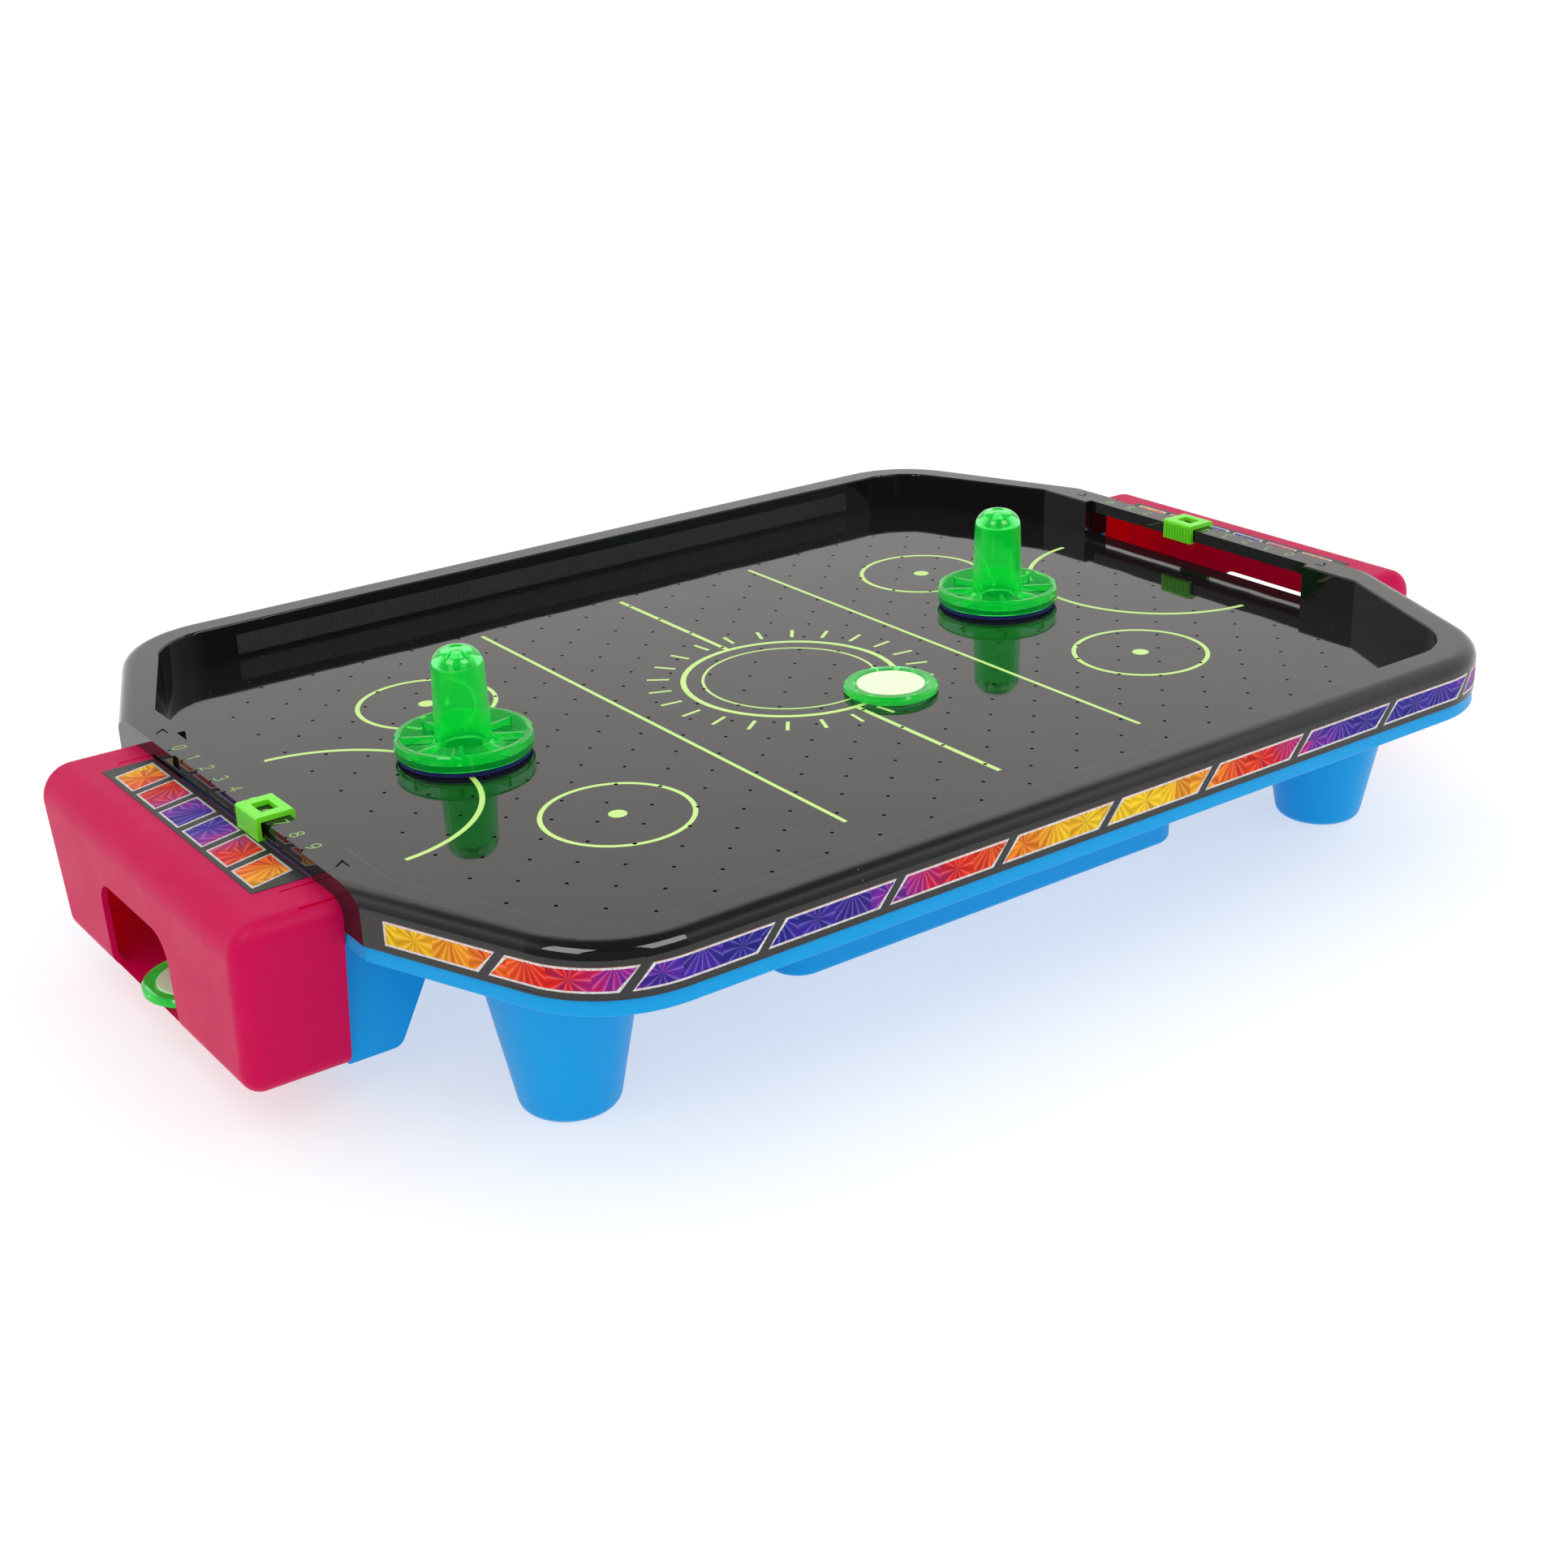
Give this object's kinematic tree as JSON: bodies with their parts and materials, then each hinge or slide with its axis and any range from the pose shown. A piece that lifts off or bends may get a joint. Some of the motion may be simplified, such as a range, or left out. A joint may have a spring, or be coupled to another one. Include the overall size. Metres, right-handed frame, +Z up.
{
  "type": "tabletop air hockey game",
  "caption": "Tabletop air hockey game: perforated playfield with raised rail, goal boxes, score sliders, strikers, pucks and a battery fan in a legged tray.",
  "frame": {"origin": "centre of the footprint on the table plane, level with the bottoms of the four legs", "axes": "+X along the table from one goal to the other, +Y across the table, +Z up out of the playing surface"},
  "size_m": [0.49, 0.33, 0.0985],
  "materials": {
    "black_shell": "glossy injection moulded",
    "blue_shell": "satin injection moulded",
    "pink_shell": "satin injection moulded",
    "lime_plastic": "satin injection moulded",
    "clear_green": "translucent neon green, polished",
    "felt_blue": "short dense felt",
    "glow_disc": "smooth phosphorescent sheet",
    "foil_print": "printed holographic foil",
    "grey_label": "satin printed strip",
    "grey_plastic": "fine matt moulded",
    "black_plastic": "fine matt moulded",
    "white_plastic": "smooth moulded",
    "zinc_steel": "zinc plated",
    "spring_steel": "nickel plated",
    "battery_wrap": "printed sleeve, plain",
    "wire_red_sleeve": "smooth",
    "wire_black_sleeve": "smooth",
    "wire_yellow_sleeve": "smooth"
  },
  "bodies": {
    "frame": {"playfield_top": "black_shell", "side_band_front": "foil_print", "side_band_back": "foil_print", "wall_label_front": "grey_label", "wall_label_back": "grey_label", "bottom_tray": "blue_shell", "motor_bracket": "grey_plastic", "fan_motor": "zinc_steel", "motor_screws": "zinc_steel", "case_screws": "zinc_steel", "battery_cells": "battery_wrap", "contact_plates": "spring_steel", "contact_springs": "spring_steel", "power_switch": "black_plastic", "wire_red": "wire_red_sleeve", "wire_black": "wire_black_sleeve", "wire_yellow": "wire_yellow_sleeve"},
    "goal_box_left_body": {"goal_box_left": "pink_shell", "goal_sticker_left": "foil_print"},
    "goal_box_right_body": {"goal_box_right": "pink_shell", "goal_sticker_right": "foil_print"},
    "score_slider_left_body": {"score_slider_left": "lime_plastic"},
    "score_slider_right_body": {"score_slider_right": "lime_plastic"},
    "striker_left_body": {"striker_left": "clear_green", "striker_left_pad": "felt_blue"},
    "striker_right_body": {"striker_right": "clear_green", "striker_right_pad": "felt_blue"},
    "puck_body": {"puck_ring": "clear_green", "puck_disc": "glow_disc"},
    "spare_puck_body": {"spare_puck_ring": "clear_green", "spare_puck_disc": "glow_disc"},
    "fan_rotor": {"motor_shaft": "spring_steel", "fan_impeller": "white_plastic"},
    "battery_door_body": {"battery_door": "blue_shell", "battery_door_screw": "zinc_steel"},
    "switch_knob_body": {"switch_knob": "black_plastic"}
  },
  "joints": [
    {"name": "goal_box_left_unclip", "type": "slide", "parent": "frame", "child": "goal_box_left_body", "axis": [-1, 0, 0], "range_m": [0, 0.03]},
    {"name": "goal_box_right_unclip", "type": "slide", "parent": "frame", "child": "goal_box_right_body", "axis": [1, 0, 0], "range_m": [0, 0.03]},
    {"name": "score_slider_left_slide", "type": "slide", "parent": "frame", "child": "score_slider_left_body", "axis": [0, 1, 0], "range_m": [-0.0322, 0.0655]},
    {"name": "score_slider_right_slide", "type": "slide", "parent": "frame", "child": "score_slider_right_body", "axis": [0, 1, 0], "range_m": [-0.0542, 0.0435]},
    {"name": "striker_left_slide", "type": "slide", "parent": "frame", "child": "striker_left_body", "axis": [0, 1, 0], "range_m": [-0.1391, 0.1131]},
    {"name": "striker_right_slide", "type": "slide", "parent": "frame", "child": "striker_right_body", "axis": [0, 1, 0], "range_m": [-0.1405, 0.1117]},
    {"name": "puck_glide", "type": "slide", "parent": "frame", "child": "puck_body", "axis": [1, 0, 0], "range_m": [-0.095, 0.052]},
    {"name": "spare_puck_out", "type": "slide", "parent": "goal_box_left_body", "child": "spare_puck_body", "axis": [-1, 0, 0], "range_m": [0, 0.05]},
    {"name": "fan_spin", "type": "hinge", "parent": "frame", "child": "fan_rotor", "pos_m": [0, 0, 0.026], "axis": [0, 0, 1], "continuous": true},
    {"name": "battery_door_lift", "type": "slide", "parent": "frame", "child": "battery_door_body", "axis": [0, 0, -1], "range_m": [0, 0.012]},
    {"name": "power_switch_slide", "type": "slide", "parent": "frame", "child": "switch_knob_body", "axis": [1, 0, 0], "range_m": [0, 0.0046]}
  ]
}
